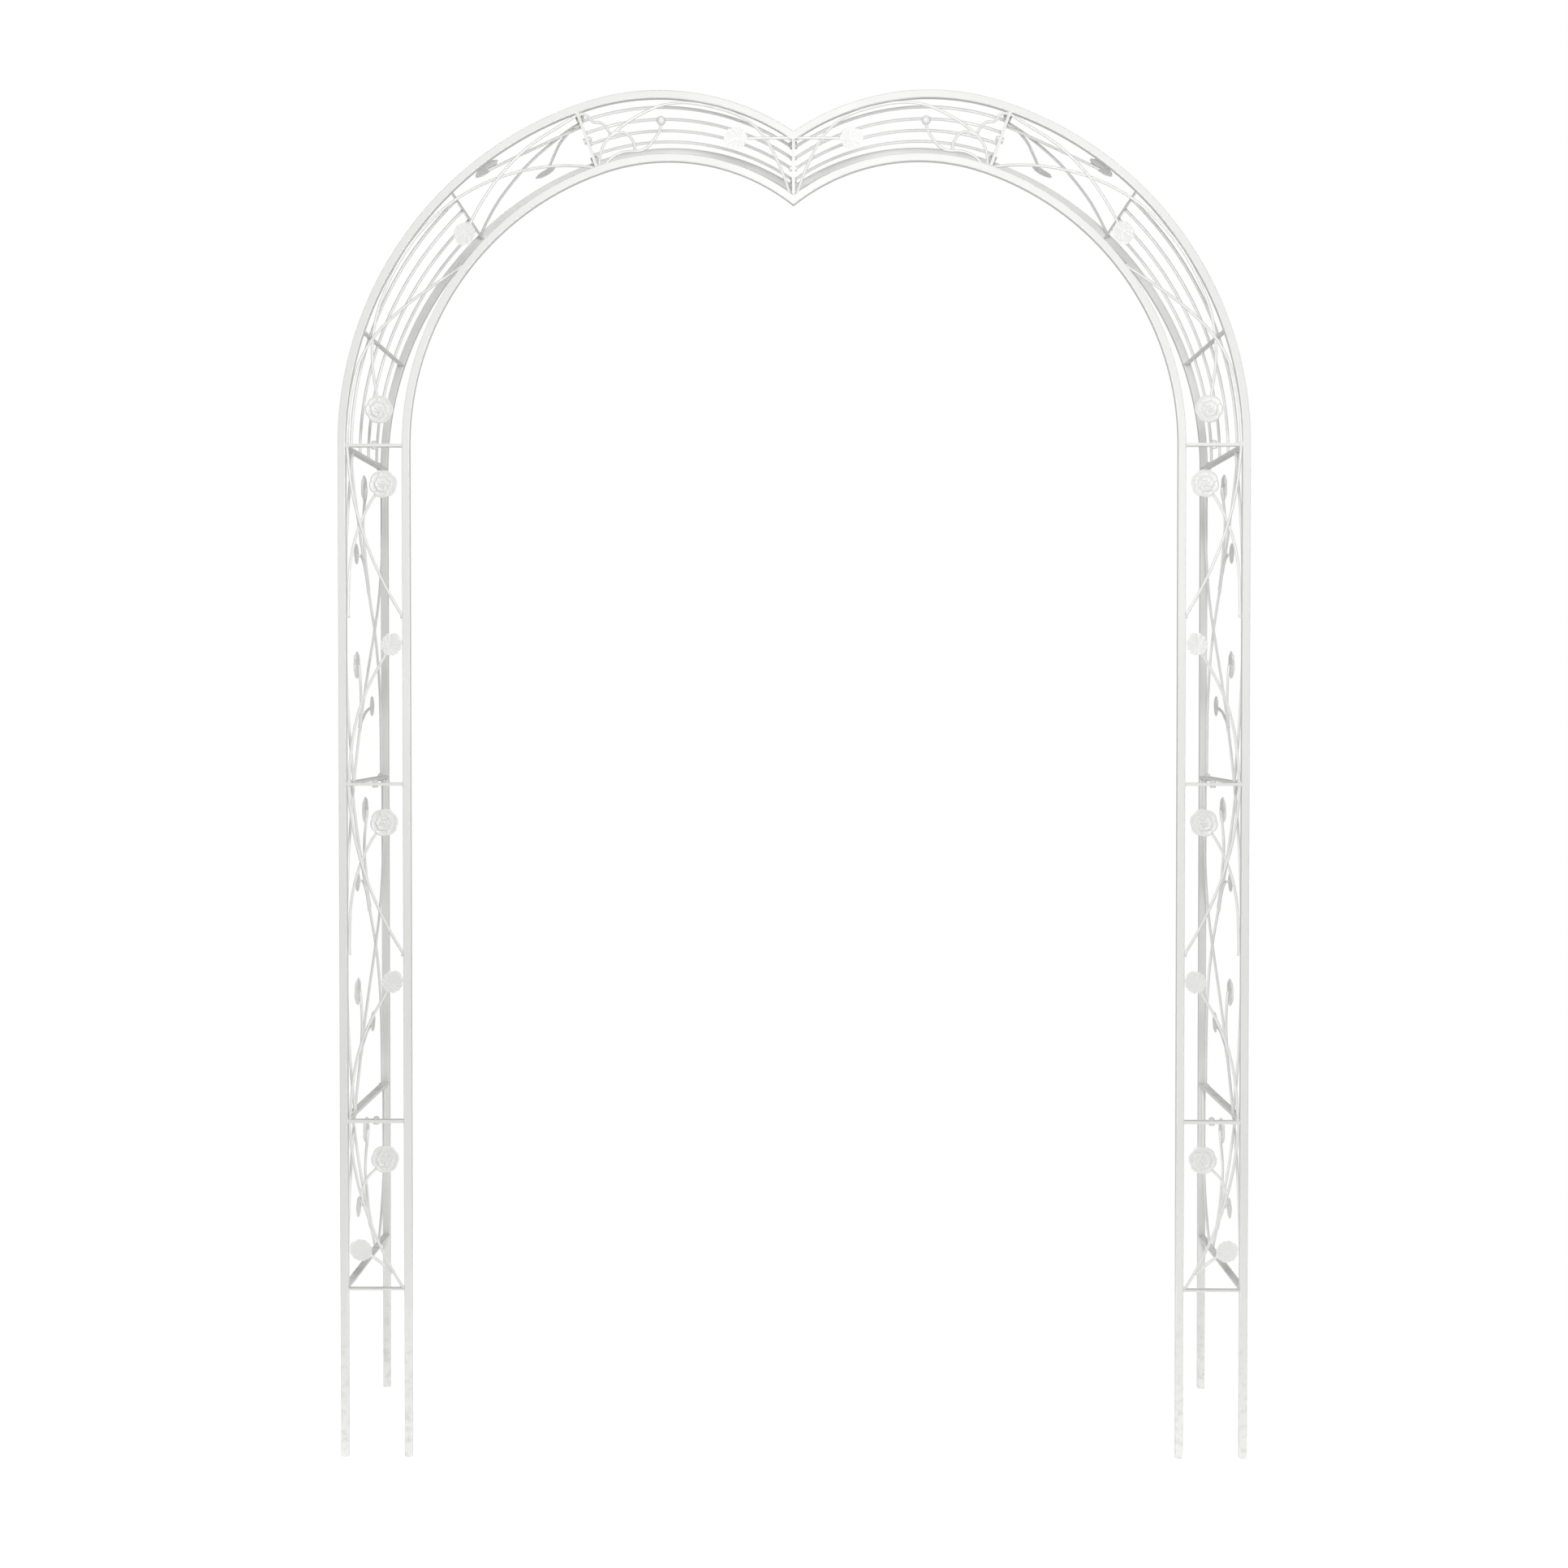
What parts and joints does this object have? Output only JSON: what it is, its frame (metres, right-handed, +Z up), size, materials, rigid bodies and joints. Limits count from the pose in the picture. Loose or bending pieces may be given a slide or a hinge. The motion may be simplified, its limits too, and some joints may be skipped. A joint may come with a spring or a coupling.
{
  "type": "metal trellis arch",
  "caption": "Free-standing white metal garden arch with a two-lobed heart-shaped top, L-shaped tube posts, bent vine rods, pressed roses and leaves in the front and side panels.",
  "frame": {"origin": "on the ground, in the middle of the arch's width and depth", "axes": "+X across the passage to the right as seen from the front, +Y from the front ladder frame to the rear tubes, +Z up"},
  "size_m": [1.5, 0.3728, 2.254],
  "materials": {
    "frame_coat": "satin off-white powder coat on square steel tube",
    "bar_coat": "satin off-white powder coat on flat steel bar",
    "rod_coat": "satin off-white powder coat on round steel rod",
    "ornament_coat": "satin off-white powder coat on pressed sheet metal",
    "fastener_coat": "painted hexagon bolts and nuts, slightly duller than the frame"
  },
  "bodies": {
    "root": {"bolts": "fastener_coat", "buds": "ornament_coat", "front_crossbars": "bar_coat", "front_leaves": "ornament_coat", "front_roses": "ornament_coat", "left_crown_front_scroll": "rod_coat", "left_crown_inner_front_tube": "frame_coat", "left_crown_outer_front_tube": "frame_coat", "left_crown_outer_rear_tube": "frame_coat", "left_crown_roof_rods": "rod_coat", "left_haunch_front_scroll": "rod_coat", "left_haunch_inner_front_tube": "frame_coat", "left_haunch_outer_front_tube": "frame_coat", "left_haunch_outer_rear_tube": "frame_coat", "left_haunch_side_scroll": "rod_coat", "left_lower_leg_front_scroll": "rod_coat", "left_lower_leg_inner_front_tube": "frame_coat", "left_lower_leg_outer_front_tube": "frame_coat", "left_lower_leg_outer_rear_tube": "frame_coat", "left_lower_leg_side_scroll": "rod_coat", "left_middle_leg_front_scroll": "rod_coat", "left_middle_leg_inner_front_tube": "frame_coat", "left_middle_leg_outer_front_tube": "frame_coat", "left_middle_leg_outer_rear_tube": "frame_coat", "left_middle_leg_side_scroll": "rod_coat", "left_upper_leg_front_scroll": "rod_coat", "left_upper_leg_inner_front_tube": "frame_coat", "left_upper_leg_outer_front_tube": "frame_coat", "left_upper_leg_outer_rear_tube": "frame_coat", "left_upper_leg_side_scroll": "rod_coat", "nuts": "fastener_coat", "right_crown_front_scroll": "rod_coat", "right_crown_inner_front_tube": "frame_coat", "right_crown_outer_front_tube": "frame_coat", "right_crown_outer_rear_tube": "frame_coat", "right_crown_roof_rods": "rod_coat", "right_haunch_front_scroll": "rod_coat", "right_haunch_inner_front_tube": "frame_coat", "right_haunch_outer_front_tube": "frame_coat", "right_haunch_outer_rear_tube": "frame_coat", "right_haunch_side_scroll": "rod_coat", "right_lower_leg_front_scroll": "rod_coat", "right_lower_leg_inner_front_tube": "frame_coat", "right_lower_leg_outer_front_tube": "frame_coat", "right_lower_leg_outer_rear_tube": "frame_coat", "right_lower_leg_side_scroll": "rod_coat", "right_middle_leg_front_scroll": "rod_coat", "right_middle_leg_inner_front_tube": "frame_coat", "right_middle_leg_outer_front_tube": "frame_coat", "right_middle_leg_outer_rear_tube": "frame_coat", "right_middle_leg_side_scroll": "rod_coat", "right_upper_leg_front_scroll": "rod_coat", "right_upper_leg_inner_front_tube": "frame_coat", "right_upper_leg_outer_front_tube": "frame_coat", "right_upper_leg_outer_rear_tube": "frame_coat", "right_upper_leg_side_scroll": "rod_coat", "side_crossbars": "bar_coat", "side_leaves": "ornament_coat", "side_roses": "ornament_coat"}
  },
  "joints": []
}
